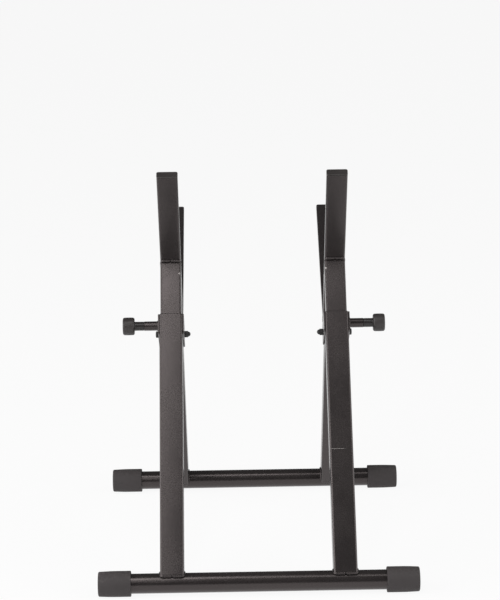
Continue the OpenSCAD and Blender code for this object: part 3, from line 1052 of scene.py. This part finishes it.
class STAND_OT_set_studio(bpy.types.Operator):
    """Set the camera, the floor, the backdrop and the soft lamps"""

    bl_idname = "stand.set_studio"
    bl_label = "Set Studio"

    def execute(self, context):
        studio = context.scene.stand_studio
        self.set_camera(context.scene, studio)
        self.lay_floor(studio)
        self.light_sky(context.scene, studio)
        for name, power, place, wide, tall in LAMPS:
            self.hang_lamp(name, getattr(studio, power), place, wide, tall)
        context.scene.view_settings.view_transform = "Standard"
        return {"FINISHED"}

    def set_camera(self, scene, studio):
        lens = bpy.data.cameras.new("Camera")
        lens.lens = studio.focal
        lens.sensor_width = 36
        camera = new_object("Camera", lens)
        camera.location = studio.camera_at
        camera.rotation_euler = studio.camera_turn
        scene.camera = camera

    def lay_floor(self, studio):
        """A sheet of paper 24 m wide, a little under the feet."""
        shape = bmesh.new()
        under_feet = Matrix.Translation((0, 0, -0.4 * MM))
        half_width = 12
        bmesh.ops.create_grid(shape, x_segments=1, y_segments=1, size=half_width, matrix=under_feet)
        floor = object_from("Floor", shape)
        floor.data.materials.append(self.pale_paper(studio))

    def pale_paper(self, studio):
        """Paper that looks white from the camera and in the steel, apart from a faint shadow."""
        material, tree, shader, where = new_material("Pale Paper")
        mottle = place_group(tree, "Surface Grain", where)["Mottle"]
        tint = (math_node(tree, "MULTIPLY", mottle, 0.15), toned(studio.backdrop, 0.97))
        feed_all(tree, shader, {"Base Color": layered(tree, studio.backdrop, tint), "Roughness": 0.9})
        glow = feed_all(tree, tree.nodes.new("ShaderNodeEmission"), {"Color": WHITE})
        seen = rays_seen(tree, "Is Camera Ray", "Is Glossy Ray", "Is Transmission Ray")
        share = math_node(tree, "MULTIPLY", seen, 1 - studio.shadow)
        surface = mixed_shader(tree, share, shader.outputs["BSDF"], glow.outputs["Emission"])
        feed(tree, tree.nodes["Material Output"].inputs["Surface"], surface)
        return material

    def light_sky(self, scene, studio):
        """An even dim sky that the camera sees as white."""
        scene.world = bpy.data.worlds.new("Studio")
        scene.world.use_nodes = True
        tree = scene.world.node_tree
        sky = feed_all(tree, tree.nodes["Background"], {"Color": WHITE, "Strength": studio.sky})
        paper = feed_all(tree, tree.nodes.new("ShaderNodeBackground"), {"Color": WHITE, "Strength": 1})
        seen = rays_seen(tree, "Is Camera Ray", "Is Transmission Ray")
        surface = mixed_shader(tree, seen, sky.outputs["Background"], paper.outputs["Background"])
        feed(tree, tree.nodes["World Output"].inputs["Surface"], surface)

    def hang_lamp(self, name, power, place, wide, tall):
        light = bpy.data.lights.new(name, "AREA")
        light.shape = "RECTANGLE"
        light.energy = power
        light.size = wide
        light.size_y = tall
        lamp = new_object(name, light)
        lamp.location = place
        lamp.rotation_euler = (LAMPS_AIM_AT - lamp.location).to_track_quat("-Z", "Y").to_euler()


class STAND_PT_panel(bpy.types.Panel):
    """Everything that finishes the stand"""

    bl_idname = "STAND_PT_panel"
    bl_label = "Folding Stand"
    bl_space_type = "VIEW_3D"
    bl_region_type = "UI"
    bl_category = "Stand"

    def draw(self, context):
        for step in STEPS:
            self.layout.operator(step.bl_idname)
        for group_name in PROPERTY_GROUPS:
            group = getattr(context.scene, group_name)
            box = self.layout.box()
            for name in group.__annotations__:
                box.prop(group, name)


STEPS = (
    STAND_OT_mix_finishes,
    STAND_OT_soften_steel,
    STAND_OT_run_welds,
    STAND_OT_mould_feet,
    STAND_OT_turn_knobs,
    STAND_OT_wind_springs,
    STAND_OT_set_studio,
)
PROPERTY_GROUPS = {
    "stand_finish": STAND_PG_finish,
    "stand_welds": STAND_PG_welds,
    "stand_feet": STAND_PG_feet,
    "stand_knobs": STAND_PG_knobs,
    "stand_springs": STAND_PG_springs,
    "stand_studio": STAND_PG_studio,
}


def register():
    for group in PROPERTY_GROUPS.values():
        bpy.utils.register_class(group)
    for step in STEPS:
        bpy.utils.register_class(step)
    bpy.utils.register_class(STAND_PT_panel)
    for name, group in PROPERTY_GROUPS.items():
        setattr(bpy.types.Scene, name, PointerProperty(type=group))


def unregister():
    for name in PROPERTY_GROUPS:
        delattr(bpy.types.Scene, name)
    bpy.utils.unregister_class(STAND_PT_panel)
    for step in reversed(STEPS):
        bpy.utils.unregister_class(step)
    for group in reversed(PROPERTY_GROUPS.values()):
        bpy.utils.unregister_class(group)


def main():
    register()
    bpy.ops.stand.mix_finishes()
    bpy.ops.stand.soften_steel()
    bpy.ops.stand.run_welds()
    bpy.ops.stand.mould_feet()
    bpy.ops.stand.turn_knobs()
    bpy.ops.stand.wind_springs()
    bpy.ops.stand.set_studio()


if __name__ == "__main__":
    main()
